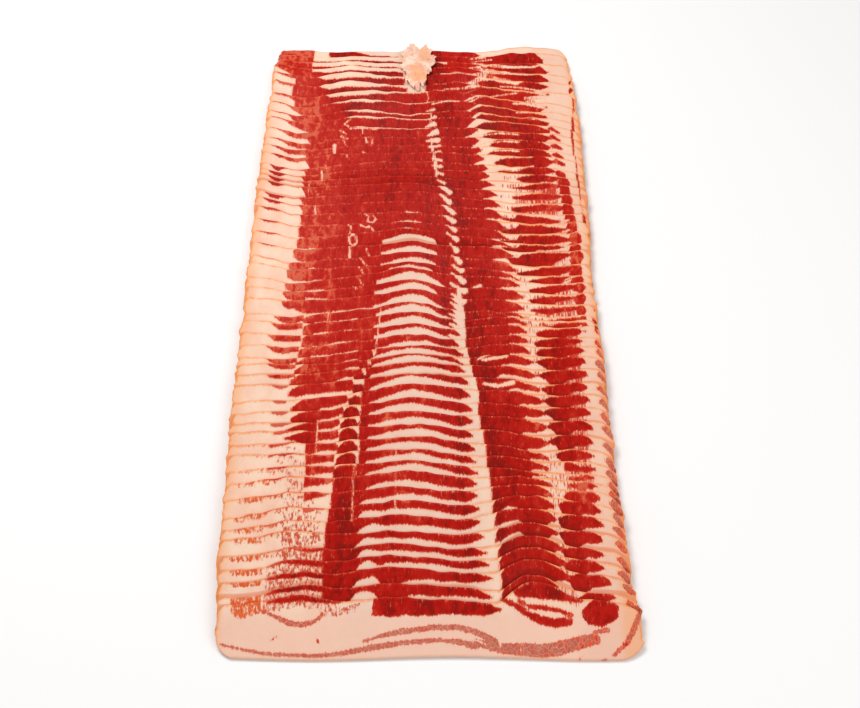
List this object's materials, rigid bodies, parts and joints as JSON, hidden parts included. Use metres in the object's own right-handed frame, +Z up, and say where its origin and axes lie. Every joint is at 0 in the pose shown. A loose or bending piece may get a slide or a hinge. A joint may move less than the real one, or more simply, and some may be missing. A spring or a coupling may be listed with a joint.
{
  "type": "shingled raw bacon rashers",
  "caption": "A sliced side of raw streaky bacon: thin rashers shingled in cutting order, lean edges up, rind edges down, the front rasher's face in full view.",
  "frame": {"origin": "on the table, under the centre of the block's box", "axes": "+X along the rashers to the right, +Y across them towards the backmost rasher, +Z up; the front rasher, whose whole face shows, is at -Y"},
  "size_m": [0.2586, 0.5424, 0.0156],
  "materials": {
    "streaky_bacon": "raw streaky bacon: deep red lean and pale warm fat in one slice, moist, soft low gloss",
    "soft_fat": "soft pinkish-white fat with orange edges, moist, lumpy"
  },
  "bodies": {
    "root": {"rasher_01": "streaky_bacon", "rasher_02": "streaky_bacon", "rasher_03": "streaky_bacon", "rasher_04": "streaky_bacon", "rasher_05": "streaky_bacon", "rasher_06": "streaky_bacon", "rasher_07": "streaky_bacon", "rasher_08": "streaky_bacon", "rasher_09": "streaky_bacon", "rasher_10": "streaky_bacon", "rasher_11": "streaky_bacon", "rasher_12": "streaky_bacon", "rasher_13": "streaky_bacon", "rasher_14": "streaky_bacon", "rasher_15": "streaky_bacon", "rasher_16": "streaky_bacon", "rasher_17": "streaky_bacon", "rasher_18": "streaky_bacon", "rasher_19": "streaky_bacon", "rasher_20": "streaky_bacon", "rasher_21": "streaky_bacon", "rasher_22": "streaky_bacon", "rasher_23": "streaky_bacon", "rasher_24": "streaky_bacon", "rasher_25": "streaky_bacon", "rasher_26": "streaky_bacon", "rasher_27": "streaky_bacon", "rasher_28": "streaky_bacon", "rasher_29": "streaky_bacon", "rasher_30": "streaky_bacon", "rasher_31": "streaky_bacon", "rasher_32": "streaky_bacon", "rasher_33": "streaky_bacon", "rasher_34": "streaky_bacon", "rasher_35": "streaky_bacon", "rasher_36": "streaky_bacon", "rasher_37": "streaky_bacon", "rasher_38": "streaky_bacon", "rasher_39": "streaky_bacon", "rasher_40": "streaky_bacon", "rasher_41": "streaky_bacon", "rasher_42": "streaky_bacon", "rasher_43": "streaky_bacon", "rasher_44": "streaky_bacon", "rasher_45": "streaky_bacon", "rasher_46": "streaky_bacon", "rasher_47": "streaky_bacon", "rasher_48": "streaky_bacon", "rasher_49": "streaky_bacon", "rasher_50": "streaky_bacon", "rasher_51": "streaky_bacon", "rasher_52": "streaky_bacon", "rasher_53": "streaky_bacon", "rasher_54": "streaky_bacon", "soft_fat_flap": "soft_fat"}
  },
  "joints": []
}
